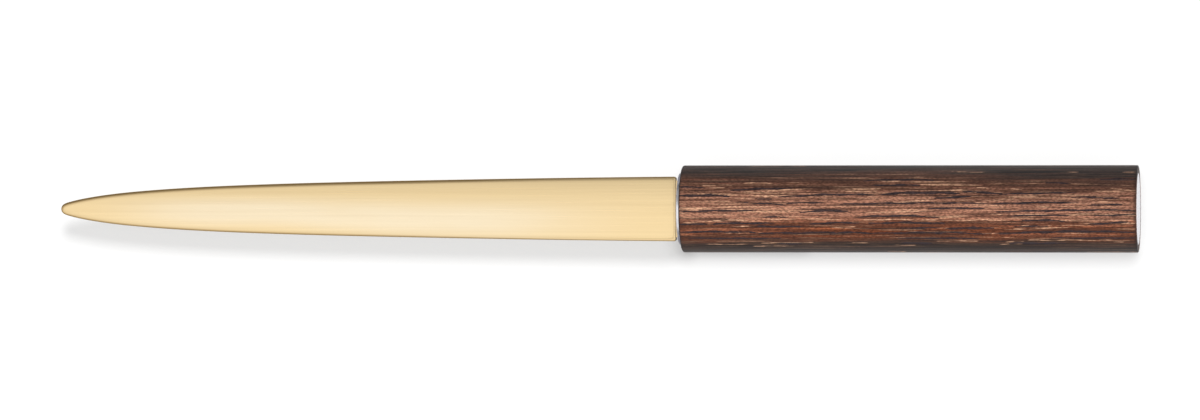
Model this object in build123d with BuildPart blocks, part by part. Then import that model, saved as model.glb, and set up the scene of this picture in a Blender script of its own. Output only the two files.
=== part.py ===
from build123d import *
import os
from math import cos, radians, sin

# A letter opener lying on a table, in millimetres.
# The blade points along -X and the handle lies along +X. The blade's flat faces up, +Z.
# The origin is on the table, below the middle of the opener's length.
# A solid brass blade has a thinner tang, which two spring pins lock in a slotted, turned ferrule.
# The ferrule and a rear plug are pressed into a brass liner tube that carries a thin wooden sleeve.

# Wooden sleeve
SLEEVE_DIAMETER = 16.0
SLEEVE_LENGTH = 83.8
SLEEVE_FRONT_BREAK = 0.3
SLEEVE_REAR_BREAK = 0.2

# Liner tube
LINER_DIAMETER = 13.2
LINER_WALL = 0.6

# Heads of the two end fittings, which lie in the sleeve's bore and seat on the liner's ends
HEAD_SEAT_DEPTH = 2.0
FERRULE_PROUD = 0.6
HEAD_EDGE_BREAK = 0.15
REAR_SPIGOT_LENGTH = 12.0
REAR_GROOVE_COUNT = 2
GROOVE_WIDTH = 1.0
GROOVE_DEPTH = 0.25
SPIGOT_LEAD_IN = 0.4

# Blade, from its tip to its shoulders
BLADE_LENGTH = 115.0
BLADE_WIDTH = 11.9
BLADE_THICKNESS = 2.4
BLADE_CROWN = 0.4
TIP_THICKNESS = 1.5
NOSE_RADIUS = 1.05
NOSE_HALF_ANGLE = 58.0
SHOULDER_RADIUS = 0.45
BLADE_EDGE_ROUND = 0.4
SHOULDER_RELIEF = 0.6
# Stations along one edge: share of the blade's length from the tip, share of its half width
EDGE_SHARES = ((0.013, 0.216), (0.044, 0.349), (0.140, 0.571), (0.298, 0.742), (0.526, 0.864), (1.0, 1.0))
# Rise of the edge over its run where it meets the shoulder
SHOULDER_SLOPE = 0.008
# How far the crowned body that trims the blade's faces runs past the outline
LENS_OVERRUN = 0.5

# Tang, behind the blade's neck
TANG_THICKNESS = 1.5
NECK_WIDTH = 10.4
TANG_WIDTH = 7.0
TANG_END_MARGIN = 6.0
SPIGOT_END_MARGIN = 3.0

# Spring pins through the ferrule and the tang
PIN_COUNT = 2
PIN_DIAMETER = 2.5
PIN_WALL = 0.5
PIN_GAP = 0.6
PIN_INSET = 6.0
PIN_SPACING = 10.0
PIN_END_CLEARANCE = 0.4

# Clearances on each side
GLUE_GAP = 0.05
PRESS_CLEARANCE = 0.01
SLOT_CLEARANCE = 0.1
PIN_CLEARANCE = 0.02

# Places along the opener's length
OVERALL_LENGTH = BLADE_LENGTH + SHOULDER_RELIEF + FERRULE_PROUD + SLEEVE_LENGTH
TIP_X = -OVERALL_LENGTH / 2
SHOULDER_X = TIP_X + BLADE_LENGTH
NECK_ROOT_X = SHOULDER_X - SHOULDER_RADIUS
FERRULE_FACE_X = SHOULDER_X + SHOULDER_RELIEF
SLEEVE_FRONT_X = FERRULE_FACE_X + FERRULE_PROUD
SLEEVE_REAR_X = SLEEVE_FRONT_X + SLEEVE_LENGTH
LINER_FRONT_X = SLEEVE_FRONT_X + HEAD_SEAT_DEPTH
LINER_REAR_X = SLEEVE_REAR_X - HEAD_SEAT_DEPTH
PIN_STATIONS = [LINER_FRONT_X + PIN_INSET + PIN_SPACING * i for i in range(PIN_COUNT)]
TANG_END_X = PIN_STATIONS[-1] + TANG_END_MARGIN
FERRULE_END_X = TANG_END_X + SPIGOT_END_MARGIN

# Half width of the blade, and radii of the turned pieces
BLADE_HALF_WIDTH = BLADE_WIDTH / 2
SLEEVE_RADIUS = SLEEVE_DIAMETER / 2
LINER_RADIUS = LINER_DIAMETER / 2
LINER_BORE_RADIUS = LINER_RADIUS - LINER_WALL
SLEEVE_BORE_RADIUS = LINER_RADIUS + GLUE_GAP
SPIGOT_RADIUS = LINER_BORE_RADIUS - PRESS_CLEARANCE
PIN_RADIUS = PIN_DIAMETER / 2
PIN_LENGTH = 2 * ((SPIGOT_RADIUS**2 - PIN_RADIUS**2) ** 0.5 - PIN_END_CLEARANCE)

# The handle's axis, and the level plane through it that holds the blade's outline and the turned profiles
AXIS_HEIGHT = SLEEVE_RADIUS
HANDLE_AXIS = Axis((0, 0, AXIS_HEIGHT), (1, 0, 0))
MIDDLE_PLANE = Plane.XY.offset(AXIS_HEIGHT)
PIN_PLACES = [(x, 0) for x in PIN_STATIONS]


def ring_profile(start_x, end_x, inner_radius, outer_radius, mode=Mode.ADD):
    """Adds one rectangle of a turned profile, between two places and two radii."""
    with Locations((start_x, inner_radius)):
        Rectangle(end_x - start_x, outer_radius - inner_radius, align=(Align.MIN, Align.MIN), mode=mode)


def groove_profile(middle_x):
    """Cuts one glue groove into a spigot's turned profile."""
    ring_profile(
        middle_x - GROOVE_WIDTH / 2,
        middle_x + GROOVE_WIDTH / 2,
        SPIGOT_RADIUS - GROOVE_DEPTH,
        SPIGOT_RADIUS,
        mode=Mode.SUBTRACT,
    )


# Blade: its outline stands as a plate, a crowned body trims the faces, and the edges are rounded
nose_angle = radians(NOSE_HALF_ANGLE)
nose_end = (TIP_X + NOSE_RADIUS * (1 - cos(nose_angle)), NOSE_RADIUS * sin(nose_angle))
edge_points = [(TIP_X + BLADE_LENGTH * along, BLADE_HALF_WIDTH * across) for along, across in EDGE_SHARES]
thickness_taper = (BLADE_THICKNESS - TIP_THICKNESS) / BLADE_LENGTH
lens_y = BLADE_HALF_WIDTH + LENS_OVERRUN

with BuildPart() as blade:
    with BuildSketch(MIDDLE_PLANE.offset(-BLADE_THICKNESS)):
        with BuildLine():
            CenterArc((TIP_X + NOSE_RADIUS, 0), NOSE_RADIUS, 180 - NOSE_HALF_ANGLE, NOSE_HALF_ANGLE)
            edge = Spline(
                nose_end,
                *edge_points,
                tangents=[(sin(nose_angle), cos(nose_angle)), (1, SHOULDER_SLOPE)],
                tangent_scalars=[1, 1],
            )
            Line(edge @ 1, (SHOULDER_X, 0))
            mirror(about=Plane.XZ)
        outline = make_face()
        fillet(outline.vertices().group_by(Axis.X)[-1], SHOULDER_RADIUS)
    extrude(amount=2 * BLADE_THICKNESS)
    for section_x in (TIP_X - LENS_OVERRUN, SHOULDER_X + LENS_OVERRUN):
        crown_z = (TIP_THICKNESS + thickness_taper * (section_x - TIP_X)) / 2
        edge_z = crown_z - BLADE_CROWN * (lens_y / BLADE_HALF_WIDTH) ** 2
        with BuildSketch(Plane((section_x, 0, AXIS_HEIGHT), x_dir=(0, 1, 0), z_dir=(1, 0, 0))):
            with BuildLine():
                top = ThreePointArc((-lens_y, edge_z), (0, crown_z), (lens_y, edge_z))
                bottom = ThreePointArc((-lens_y, -edge_z), (0, -crown_z), (lens_y, -edge_z))
                Line(top @ 0, bottom @ 0)
                Line(top @ 1, bottom @ 1)
            make_face()
    loft(mode=Mode.INTERSECT)
    fillet(blade.edges().filter_by(Axis.Z, reverse=True), BLADE_EDGE_ROUND)
    with BuildSketch(MIDDLE_PLANE):
        with Locations((NECK_ROOT_X, 0)):
            Rectangle(LINER_FRONT_X - NECK_ROOT_X, NECK_WIDTH, align=(Align.MIN, Align.CENTER))
        with Locations((LINER_FRONT_X, 0)):
            Rectangle(TANG_END_X - LINER_FRONT_X, TANG_WIDTH, align=(Align.MIN, Align.CENTER))
    extrude(amount=TANG_THICKNESS / 2, both=True)
    with BuildSketch(MIDDLE_PLANE):
        with Locations(PIN_PLACES):
            Circle(PIN_RADIUS + PIN_CLEARANCE)
    extrude(amount=TANG_THICKNESS, both=True, mode=Mode.SUBTRACT)

# Ferrule: a turned head and spigot, slotted for the neck and the tang and cross-drilled for the pins
with BuildPart() as front_ferrule:
    with BuildSketch(MIDDLE_PLANE):
        ring_profile(FERRULE_FACE_X, LINER_FRONT_X, 0, LINER_RADIUS)
        ring_profile(LINER_FRONT_X, FERRULE_END_X, 0, SPIGOT_RADIUS)
        groove_profile((PIN_STATIONS[0] + PIN_STATIONS[-1]) / 2)
        groove_profile(TANG_END_X)
    revolve(axis=HANDLE_AXIS)
    rims = front_ferrule.edges().filter_by(GeomType.CIRCLE).sort_by(Axis.X)
    fillet(rims[0], HEAD_EDGE_BREAK)
    chamfer(rims[-1], SPIGOT_LEAD_IN)
    with BuildSketch(MIDDLE_PLANE):
        with Locations((FERRULE_FACE_X, 0)):
            Rectangle(
                LINER_FRONT_X - FERRULE_FACE_X,
                NECK_WIDTH + 2 * SLOT_CLEARANCE,
                align=(Align.MIN, Align.CENTER),
            )
            Rectangle(
                FERRULE_END_X - FERRULE_FACE_X,
                TANG_WIDTH + 2 * SLOT_CLEARANCE,
                align=(Align.MIN, Align.CENTER),
            )
    extrude(amount=TANG_THICKNESS / 2 + SLOT_CLEARANCE, both=True, mode=Mode.SUBTRACT)
    with BuildSketch(MIDDLE_PLANE):
        with Locations(PIN_PLACES):
            Circle(PIN_RADIUS + PIN_CLEARANCE)
    extrude(amount=LINER_RADIUS, both=True, mode=Mode.SUBTRACT)

# Spring pins: rolled, slotted tubes across the ferrule, hidden by the liner
with BuildPart() as tang_pins:
    with BuildSketch(MIDDLE_PLANE):
        with Locations(PIN_PLACES):
            Circle(PIN_RADIUS)
            Circle(PIN_RADIUS - PIN_WALL, mode=Mode.SUBTRACT)
            Rectangle(PIN_DIAMETER, PIN_GAP, align=(Align.MIN, Align.CENTER), mode=Mode.SUBTRACT)
    extrude(amount=PIN_LENGTH / 2, both=True)

# Liner tube, short of the sleeve at both ends by the depth of the heads
with BuildPart() as liner_tube:
    with BuildSketch(MIDDLE_PLANE):
        ring_profile(LINER_FRONT_X, LINER_REAR_X, LINER_BORE_RADIUS, LINER_RADIUS)
    revolve(axis=HANDLE_AXIS)

# Wooden sleeve, bored right through and glued over the liner
with BuildPart() as wood_sleeve:
    with BuildSketch(MIDDLE_PLANE):
        ring_profile(SLEEVE_FRONT_X, SLEEVE_REAR_X, SLEEVE_BORE_RADIUS, SLEEVE_RADIUS)
    revolve(axis=HANDLE_AXIS)
    outer_rims = wood_sleeve.edges().filter_by(GeomType.CIRCLE).group_by(SortBy.RADIUS)[-1].sort_by(Axis.X)
    chamfer(outer_rims[0], SLEEVE_FRONT_BREAK)
    chamfer(outer_rims[-1], SLEEVE_REAR_BREAK)

# Rear plug, whose head lies flush with the sleeve's rear end
with BuildPart() as rear_plug:
    spigot_end_x = LINER_REAR_X - REAR_SPIGOT_LENGTH
    with BuildSketch(MIDDLE_PLANE):
        ring_profile(spigot_end_x, LINER_REAR_X, 0, SPIGOT_RADIUS)
        ring_profile(LINER_REAR_X, SLEEVE_REAR_X, 0, LINER_RADIUS)
        for groove in range(REAR_GROOVE_COUNT):
            groove_profile(spigot_end_x + REAR_SPIGOT_LENGTH * (groove + 1) / (REAR_GROOVE_COUNT + 1))
    revolve(axis=HANDLE_AXIS)
    rims = rear_plug.edges().filter_by(GeomType.CIRCLE).sort_by(Axis.X)
    chamfer(rims[0], SPIGOT_LEAD_IN)
    fillet(rims[-1], HEAD_EDGE_BREAK)

os.makedirs("parts", exist_ok=True)
pieces = {
    "blade": blade,
    "front_ferrule": front_ferrule,
    "tang_pins": tang_pins,
    "liner_tube": liner_tube,
    "wood_sleeve": wood_sleeve,
    "rear_plug": rear_plug,
}
for name, piece in pieces.items():
    piece.part.label = name
    export_step(piece.part, f"parts/{name}.step")
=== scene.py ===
"""A letter opener: a crowned brass blade in a round, dark wooden handle with pale metal ends."""

from __future__ import annotations

import logging
import math
from dataclasses import dataclass, field
from enum import Enum
from typing import Any

import bmesh
import bpy
import numpy as np
from mathutils import Matrix, Vector


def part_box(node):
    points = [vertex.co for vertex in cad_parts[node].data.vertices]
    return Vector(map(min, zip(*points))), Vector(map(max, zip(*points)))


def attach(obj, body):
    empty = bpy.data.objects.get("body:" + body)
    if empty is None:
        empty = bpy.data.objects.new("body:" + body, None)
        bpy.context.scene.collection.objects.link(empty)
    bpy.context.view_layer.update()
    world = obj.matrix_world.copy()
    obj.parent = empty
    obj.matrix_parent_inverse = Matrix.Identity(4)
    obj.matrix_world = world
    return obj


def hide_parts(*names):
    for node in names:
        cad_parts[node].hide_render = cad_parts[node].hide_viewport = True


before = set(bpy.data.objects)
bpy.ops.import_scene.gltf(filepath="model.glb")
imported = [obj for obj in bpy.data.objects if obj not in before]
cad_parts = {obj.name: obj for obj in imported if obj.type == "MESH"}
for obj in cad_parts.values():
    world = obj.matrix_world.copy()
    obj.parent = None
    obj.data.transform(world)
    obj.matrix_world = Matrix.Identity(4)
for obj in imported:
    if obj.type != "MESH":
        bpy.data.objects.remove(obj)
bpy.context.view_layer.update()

LOG = logging.getLogger("letter_opener")
BODY = "root"
MM = 0.001
TINY = 1.0e-6

Colour = tuple[float, float, float]
Triple = tuple[float, float, float]
Pair = tuple[float, float]
Range = tuple[float, float, float, float]
Socket = bpy.types.NodeSocket
Material = bpy.types.Material
Mesh = bpy.types.Mesh
Piece = bpy.types.Object
Array = np.ndarray
Faces = list[tuple[int, ...]]
MarkTable = tuple[tuple[float, float, float, float, float, float], ...]


class Blend(Enum):
    """How one colour is laid over another."""

    MIX = "MIX"
    MULTIPLY = "MULTIPLY"


class Sum(Enum):
    """A sum that a finish does with one or two values."""

    ADD = "ADD"
    SUBTRACT = "SUBTRACT"
    MULTIPLY = "MULTIPLY"
    DIVIDE = "DIVIDE"
    MAXIMUM = "MAXIMUM"
    ABSOLUTE = "ABSOLUTE"
    SQRT = "SQRT"
    SINE = "SINE"


class ShaderGraph:
    """A material under construction: one surface shader and the patterns that feed it."""

    # Sockets of the mix node that carry colours
    MIX_BELOW = 6
    MIX_ABOVE = 7
    MIX_RESULT = 2

    def __init__(self, name: str) -> None:
        """Starts a material with an empty node tree.

        Args:
            name: the finish's name.
        """
        self.material = bpy.data.materials.new(name)
        self.material.use_nodes = True
        self.tree = self.material.node_tree
        self.tree.nodes.clear()
        self.output = self.tree.nodes.new("ShaderNodeOutputMaterial")
        self.shader = self.tree.nodes.new("ShaderNodeBsdfPrincipled")
        self.tree.links.new(self.shader.outputs["BSDF"], self.output.inputs["Surface"])

    def node(self, kind: str, inputs: dict[str | int, Any] | None = None, **settings: Any) -> bpy.types.Node:
        """Adds one node.

        Args:
            kind: the node's type without the leading ShaderNode.
            inputs: sockets by name or place, each with a value or a socket to link.
            settings: attributes of the node.

        Returns:
            The new node.
        """
        made = self.tree.nodes.new("ShaderNode" + kind)
        for name, value in settings.items():
            setattr(made, name, value)
        for key, value in (inputs or {}).items():
            self.feed(made.inputs[key], value)
        return made

    def feed(self, socket: Socket, value: Any) -> None:
        """Links a socket to another, or writes a plain value or colour to it.

        Args:
            socket: the socket to fill.
            value: another socket, a number, a vector or a colour.
        """
        if isinstance(value, Socket):
            self.tree.links.new(value, socket)
        elif socket.type == "RGBA":
            socket.default_value = (*value, 1.0)
        else:
            socket.default_value = value

    def surface(self, **values: Any) -> None:
        """Feeds the surface shader's sockets, named with underscores for spaces."""
        for name, value in values.items():
            self.feed(self.shader.inputs[name.replace("_", " ")], value)

    def place(self, stretch: Triple, shift: Triple = (0.0, 0.0, 0.0)) -> Socket:
        """Gives the object's own coordinates in metres, shifted and then stretched per axis.

        Args:
            stretch: pattern units per metre on each axis.
            shift: offset in metres.

        Returns:
            The coordinates' socket.
        """
        here = self.node("TexCoord").outputs["Object"]
        offset = self.node("VectorMath", {0: here, 1: shift}, operation="ADD").outputs["Vector"]
        return self.node("VectorMath", {0: offset, 1: stretch}, operation="MULTIPLY").outputs["Vector"]

    def attribute(self, name: str) -> Socket:
        """Reads a number stored on the mesh's vertices."""
        return self.node("Attribute", attribute_name=name, attribute_type="GEOMETRY").outputs["Fac"]

    def noise(self, stretch: Triple, detail: float = 2.0, rough: float = 0.5) -> Socket:
        """Gives noise, 0 to 1, by features per metre on each axis, octaves and the finer ones' share."""
        values = {"Vector": self.place(stretch), "Scale": 1.0, "Detail": detail, "Roughness": rough}
        return self.node("TexNoise", values).outputs["Fac"]

    def remap(self, value: Socket, low: float, high: float, start: float = 0.0, end: float = 1.0) -> Socket:
        """Maps a value smoothly from low and high to start and end, and holds it beyond them."""
        limits = {"Value": value, "From Min": low, "From Max": high, "To Min": start, "To Max": end}
        return self.node("MapRange", limits, interpolation_type="SMOOTHSTEP").outputs["Result"]

    def math(self, what: Sum, first: Any, second: Any = 0.0) -> Socket:
        """Does a sum with one or two values."""
        return self.node("Math", {0: first, 1: second}, operation=what.value).outputs["Value"]

    def mix(self, amount: Any, below: Any, above: Any, blend: Blend = Blend.MIX) -> Socket:
        """Lays one colour over another.

        Args:
            amount: how much of the upper one shows, 0 to 1.
            below: lower colour.
            above: upper colour.
            blend: how they combine.

        Returns:
            The resulting colour.
        """
        made = self.node("Mix", data_type="RGBA", blend_type=blend.value)
        self.feed(made.inputs[0], amount)
        self.feed(made.inputs[self.MIX_BELOW], below)
        self.feed(made.inputs[self.MIX_ABOVE], above)
        return made.outputs[self.MIX_RESULT]

    def ramp(self, value: Socket, stops: tuple[tuple[float, Colour], ...]) -> Socket:
        """Turns a value into a colour by stops along 0 to 1.

        Args:
            value: the value.
            stops: places with their colours, from low to high.

        Returns:
            The colour.
        """
        made = self.node("ValToRGB", {"Fac": value})
        elements = made.color_ramp.elements
        while len(elements) < len(stops):
            elements.new(0.5)
        for element, (at, colour) in zip(elements, stops):
            element.position = at
            element.color = (*colour, 1.0)
        return made.outputs["Color"]

    def bump(self, height: Socket, depth: float) -> Socket:
        """Turns a height pattern, 0 to 1, into a relief of a depth in metres."""
        return self.node("Bump", {"Height": height, "Distance": depth, "Strength": 1.0}).outputs["Normal"]


@dataclass(frozen=True)
class BrushedBrass:
    """Satin brass, brushed lengthwise, with painted shade along its rounded edges and a painted highlight
    along its middle.

    Insets are in millimetres. A range, here and below, is a low and a high value and the results at both.
    """

    name: str = "satin_brass"
    colour: Colour = (0.855, 0.66, 0.37)
    highlight_colour: Colour = (0.885, 0.75, 0.53)
    # Brass patina, also used for the painted shade along the edges
    patina_and_shade: Colour = (0.30, 0.18, 0.06)
    cloud_stretch: Triple = (45.0, 160.0, 160.0)
    cloud_range: Range = (0.2, 0.6, 0.8, 1.0)
    band_stretch: Triple = (9.0, 2200.0, 2200.0)
    band_range: Range = (0.3, 0.75, 0.0, 0.07)
    rolloff_shade_range: Range = (0.1, 1.1, 0.2, 0.0)
    crease_inset: float = 0.45
    crease_range: Range = (0.0, 0.08, 0.3, 0.0)
    crease_along: Range = (-25.0 * MM, 12.0 * MM, 0.1, 1.0)
    shaded_edge_range: Range = (0.1, 1.0, 0.85, 0.0)
    brush_stretch: Triple = (30.0, 9000.0, 9000.0)
    brush_depth: float = 2.0e-6
    rough_range: Range = (0.25, 0.75, 0.26, 0.38)

    def material(self) -> Material:
        """Builds the finish.

        Returns:
            The material.
        """
        graph = ShaderGraph(self.name)
        inset = graph.attribute("inset")
        edge_shade = graph.attribute("edge_shade")
        # Painted highlight: a paler, mottled strip along the blade's middle
        cloud = graph.remap(graph.noise(self.cloud_stretch), *self.cloud_range)
        painted_highlight = graph.math(Sum.MULTIPLY, graph.attribute("painted_highlight"), cloud)
        colour = graph.mix(painted_highlight, self.colour, self.highlight_colour)
        bands = graph.remap(graph.noise(self.band_stretch), *self.band_range)
        colour = graph.mix(bands, colour, self.patina_and_shade)
        # Painted shade: the face darkens broadly towards its rounded edges
        rolloff_shade = graph.remap(inset, *self.rolloff_shade_range)
        colour = graph.mix(graph.math(Sum.MULTIPLY, edge_shade, rolloff_shade), colour, self.patina_and_shade)
        colour = graph.mix(self.crease(graph, inset), colour, self.patina_and_shade)
        # Painted shade: a dark line along the rounded edges, wider on the far side
        depth = graph.math(Sum.DIVIDE, inset, graph.attribute("edge_width"))
        shaded_edge = graph.remap(depth, *self.shaded_edge_range)
        colour = graph.mix(graph.math(Sum.MULTIPLY, edge_shade, shaded_edge), colour, self.patina_and_shade)
        brush = graph.noise(self.brush_stretch, detail=4.0, rough=0.6)
        rough = graph.remap(brush, *self.rough_range)
        relief = graph.bump(brush, self.brush_depth)
        graph.surface(Base_Color=colour, Metallic=1.0, Roughness=rough, Normal=relief)
        return graph.material

    def crease(self, graph: ShaderGraph, inset: Socket) -> Socket:
        """Draws the fine line inside the edge, clearest near the handle.

        Args:
            graph: the material under construction.
            inset: distance from the edge.

        Returns:
            The line's strength.
        """
        away = graph.math(Sum.ABSOLUTE, graph.math(Sum.SUBTRACT, inset, self.crease_inset))
        line = graph.remap(away, *self.crease_range)
        along = graph.node("SeparateXYZ", {"Vector": graph.place((1.0, 1.0, 1.0))}).outputs["X"]
        return graph.math(Sum.MULTIPLY, line, graph.remap(along, *self.crease_along))


@dataclass(frozen=True)
class FineLines:
    """Long thin lines that wander along the grain and come and go."""

    stretch: Triple
    width: float
    breaks: Triple
    most: float
    core: float = 0.3
    break_range: Range = (0.44, 0.56, 0.0, 1.0)

    def strength(self, graph: ShaderGraph) -> Socket:
        """Draws the lines.

        Args:
            graph: the material under construction.

        Returns:
            The lines' strength.
        """
        level = graph.math(Sum.SUBTRACT, graph.noise(self.stretch, detail=1.0), 0.5)
        away = graph.math(Sum.ABSOLUTE, level)
        drawn = graph.remap(away, self.core * self.width, self.width, self.most, 0.0)
        whole = graph.remap(graph.noise(self.breaks, detail=1.0), *self.break_range)
        return graph.math(Sum.MULTIPLY, drawn, whole)


@dataclass(frozen=True)
class StreakedWood:
    """Oiled dark wood with near-black streaks, tan flecks, painted glints along the grain and painted light
    and shade round the handle.
    """

    name: str = "dark_wood"
    zones: tuple[tuple[float, Colour], ...] = (
        (0.0, (0.019, 0.014, 0.013)),
        (0.2, (0.062, 0.043, 0.037)),
        (0.4, (0.112, 0.056, 0.041)),
        (0.6, (0.152, 0.066, 0.042)),
        (0.8, (0.215, 0.092, 0.058)),
        (1.0, (0.475, 0.220, 0.142)),
    )
    heart: Colour = (1.0, 0.62, 0.36)
    streak: Colour = (0.041, 0.028, 0.032)
    end_grain_and_gap_shade: Colour = (0.016, 0.010, 0.010)
    fleck: Colour = (0.92, 0.52, 0.32)
    pore: Colour = (0.050, 0.026, 0.020)
    ragged_stretch: Triple = (50.0, 2300.0, 2300.0)
    ragged_range: Range = (0.33, 0.67, -0.2, 0.2)
    fibre_stretch: Triple = (75.0, 4200.0, 4200.0)
    fibre_range: Range = (0.36, 0.52, 0.55, 0.0)
    fibre_depth: float = 1.2e-5
    pore_lines: FineLines = FineLines((24.0, 1700.0, 1700.0), 0.05, (60.0, 1400.0, 1400.0), 0.8)
    glints: FineLines = FineLines((30.0, 2300.0, 2300.0), 0.045, (150.0, 2600.0, 2600.0), 0.75)
    glint_range: Range = (0.3, 1.0, 0.1, 1.0)
    dash_stretch: Triple = (380.0, 5600.0, 5600.0)
    dash_range: Range = (0.42, 0.54, 0.1, 1.0)
    fray_range: Range = (0.25, 0.75, -0.22, 0.22)
    streak_range: Range = (0.28, 0.54, 0.0, 0.95)
    grain_stretch: Triple = (1700.0, 5200.0, 5200.0)
    grain_range: Range = (0.3, 0.7, 0.55, 1.45)
    grain_share: Range = (0.1, 0.9, 0.35, 1.0)
    rough_range: Range = (0.25, 0.75, 0.62, 0.48)
    gloss: float = 0.15

    def material(self) -> Material:
        """Builds the finish.

        Returns:
            The material.
        """
        graph = ShaderGraph(self.name)
        ragged = graph.noise(self.ragged_stretch, detail=3.0)
        fibre = graph.noise(self.fibre_stretch, detail=3.0, rough=0.55)
        # Painted light and shade round the handle, with ragged wood banding, picks the colour from the ramp
        tone_and_light = graph.math(Sum.ADD, graph.attribute("tone_and_light"), graph.remap(ragged, *self.ragged_range))
        colour = graph.ramp(tone_and_light, self.zones)
        colour = graph.mix(graph.attribute("heart"), colour, self.heart, Blend.MULTIPLY)
        colour = graph.mix(graph.remap(fibre, *self.fibre_range), colour, self.pore)
        colour = graph.mix(self.pore_lines.strength(graph), colour, self.pore)
        # Painted highlights: tan glints along the grain, strongest where the painted light is brightest
        lit = graph.remap(tone_and_light, *self.glint_range)
        colour = graph.mix(graph.math(Sum.MULTIPLY, self.glints.strength(graph), lit), colour, self.fleck)
        dashes = graph.remap(graph.noise(self.dash_stretch), *self.dash_range)
        colour = graph.mix(graph.math(Sum.MULTIPLY, graph.attribute("pale"), dashes), colour, self.fleck)
        torn = graph.math(Sum.ADD, graph.attribute("dark"), graph.remap(fibre, *self.fray_range))
        colour = graph.mix(graph.remap(torn, *self.streak_range), colour, self.streak)
        grain = graph.remap(graph.noise(self.grain_stretch, detail=1.0), *self.grain_range)
        colour = graph.mix(graph.remap(tone_and_light, *self.grain_share), colour, grain, Blend.MULTIPLY)
        # Dark end grain on the front face, and painted shade along the rims beside the ferrule and the plug
        colour = graph.mix(graph.attribute("end"), colour, self.end_grain_and_gap_shade)
        rough = graph.remap(fibre, *self.rough_range)
        relief = graph.bump(fibre, self.fibre_depth)
        graph.surface(Base_Color=colour, Roughness=rough, Normal=relief, Specular_IOR_Level=self.gloss)
        return graph.material


@dataclass(frozen=True)
class TurnedAluminium:
    """Pale aluminium with the lathe's fine rings, painted shade on its sides and a painted dark line at the
    ferrule's joint with the wood. Sizes in metres.
    """

    name: str
    lit_to: float
    shaded_from: float
    colour: Colour = (0.76, 0.75, 0.79)
    dull: Colour = (0.54, 0.53, 0.58)
    joint_shade: Colour = (0.05, 0.045, 0.06)
    side_shade: Colour = (0.09, 0.085, 0.12)
    side_shade_most: float = 0.85
    joint_x: float = 16.2 * MM
    joint_range: Range = (0.06 * MM, 0.22 * MM, 0.9, 0.0)
    axis_height: float = 8.0 * MM
    rings_per_metre: float = 9000.0
    ring_share: float = 0.25
    ring_depth: float = 3.0e-6
    chatter_stretch: Triple = (7000.0, 900.0, 900.0)
    stain_stretch: Triple = (700.0, 700.0, 700.0)
    stain_range: Range = (0.4, 0.75, 0.0, 0.5)
    rough_range: Range = (0.3, 0.7, 0.22, 0.36)

    def material(self) -> Material:
        """Builds the finish.

        Returns:
            The material.
        """
        graph = ShaderGraph(self.name)
        middle = graph.place((1.0, 1.0, 1.0), (0.0, 0.0, -self.axis_height))
        split = graph.node("SeparateXYZ", {"Vector": middle}).outputs
        across = graph.math(Sum.MULTIPLY, split["Y"], split["Y"])
        upright = graph.math(Sum.MULTIPLY, split["Z"], split["Z"])
        radius = graph.math(Sum.SQRT, graph.math(Sum.ADD, across, upright))
        along = graph.math(Sum.ADD, radius, split["X"])
        ripple = graph.math(Sum.SINE, graph.math(Sum.MULTIPLY, along, self.rings_per_metre * math.tau))
        chatter = graph.noise(self.chatter_stretch, detail=3.0)
        rings = graph.math(Sum.ADD, graph.math(Sum.MULTIPLY, ripple, self.ring_share), chatter)
        stain = graph.noise(self.stain_stretch, detail=3.0)
        colour = graph.mix(graph.remap(stain, *self.stain_range), self.colour, self.dull)
        # Painted shade: a dark line in the gap where the ferrule meets the wood
        gap = graph.math(Sum.ABSOLUTE, graph.math(Sum.SUBTRACT, split["X"], self.joint_x))
        colour = graph.mix(graph.remap(gap, *self.joint_range), colour, self.joint_shade)
        # Painted shade: darker towards the sides, by distance across the opener from its middle
        side = graph.math(Sum.ABSOLUTE, split["Y"])
        dark = graph.remap(side, self.lit_to, self.shaded_from, 0.0, self.side_shade_most)
        colour = graph.mix(dark, colour, self.side_shade)
        rough = graph.remap(chatter, *self.rough_range)
        relief = graph.bump(rings, self.ring_depth)
        graph.surface(Base_Color=colour, Metallic=1.0, Roughness=rough, Normal=relief)
        return graph.material


@dataclass(frozen=True)
class DrawnMetal:
    """Plain drawn or rolled metal of the inner pieces, with lengthwise drawing lines."""

    name: str
    colour: Colour
    dull: Colour
    rough_range: Range
    line_stretch: Triple = (60.0, 6000.0, 6000.0)
    line_depth: float = 2.0e-6
    stain_stretch: Triple = (400.0, 500.0, 500.0)
    stain_range: Range = (0.4, 0.7, 0.0, 0.7)

    def material(self) -> Material:
        """Builds the finish.

        Returns:
            The material.
        """
        graph = ShaderGraph(self.name)
        lines = graph.noise(self.line_stretch, detail=3.0)
        stain = graph.noise(self.stain_stretch, detail=3.0)
        colour = graph.mix(graph.remap(stain, *self.stain_range), self.colour, self.dull)
        rough = graph.remap(lines, *self.rough_range)
        relief = graph.bump(lines, self.line_depth)
        graph.surface(Base_Color=colour, Metallic=1.0, Roughness=rough, Normal=relief)
        return graph.material


def smooth_step(values: Array, low: float, high: float) -> Array:
    """Rises smoothly from 0 at low to 1 at high."""
    share = np.clip((values - low) / (high - low), 0.0, 1.0)
    return share * share * (3.0 - 2.0 * share)


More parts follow.
